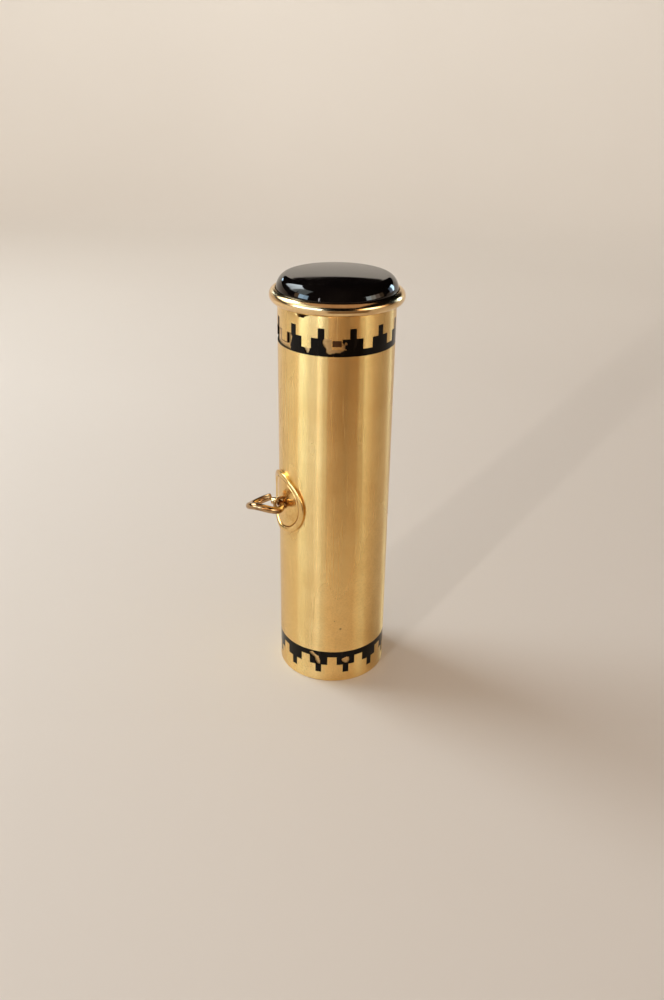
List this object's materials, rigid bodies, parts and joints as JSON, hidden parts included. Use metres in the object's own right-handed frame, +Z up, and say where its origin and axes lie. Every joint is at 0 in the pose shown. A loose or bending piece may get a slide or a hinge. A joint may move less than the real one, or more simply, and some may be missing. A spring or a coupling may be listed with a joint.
{
  "type": "lipstick case",
  "caption": "Round gold lipstick case with stepped black enamel bands, a black stone cap head on a turn-up lipstick, and a small split ring on a side plaque.",
  "frame": {"origin": "centre of the flat base", "axes": "+Z up along the tube to the stone, -X towards the plaque and ring"},
  "size_m": [0.023, 0.0182, 0.0606],
  "materials": {
    "gold": "polished yellow gold with fine wear",
    "polished_gold": "mirror polished yellow gold",
    "inner_gilt": "satin gilding",
    "mechanism_brass": "drawn brass",
    "clip_steel": "spring steel",
    "black_enamel": "glossy black champleve enamel, chipped",
    "black_onyx": "polished black stone",
    "fibre_washer": "vulcanised fibre",
    "lipstick_wax": "waxy red"
  },
  "bodies": {
    "case": {"case_tube": "gold", "case_floor": "gold", "upper_enamel_band": "black_enamel", "lower_enamel_band": "black_enamel", "plaque_plate": "gold", "plaque_border": "gold", "ring_eye": "gold"},
    "ring": {"split_ring": "polished_gold"},
    "insert": {"grip_shell": "inner_gilt", "spiral_sleeve": "mechanism_brass"},
    "head": {"bezel_rim": "polished_gold", "onyx_cabochon": "black_onyx", "stone_backing": "inner_gilt", "centre_rivet": "mechanism_brass", "guide_tube": "mechanism_brass", "drag_washer": "fibre_washer", "retaining_ring": "clip_steel"},
    "carrier": {"carrier_cup": "inner_gilt", "carrier_lug_a": "mechanism_brass", "carrier_lug_b": "mechanism_brass", "lipstick_bullet": "lipstick_wax"}
  },
  "joints": [
    {"name": "ring_swing", "type": "hinge", "parent": "case", "child": "ring", "pos_m": [-0.00887, 0, 0.0285], "axis": [0, 1, 0], "range_deg": [-85, 70]},
    {"name": "head_lift", "type": "slide", "parent": "case", "child": "insert", "axis": [0, 0, 1], "range_m": [0, 0.055]},
    {"name": "head_turn", "type": "hinge", "parent": "insert", "child": "head", "pos_m": [0, 0, 0.0567], "axis": [0, 0, 1], "range_deg": [0, 360]},
    {"name": "lipstick_travel", "type": "slide", "parent": "head", "child": "carrier", "axis": [0, 0, -1], "range_m": [0, 0.0181]}
  ],
  "couplings": [
    {"joint": "lipstick_travel", "follows": "head_turn", "m_per_rad": 0.0028648}
  ]
}
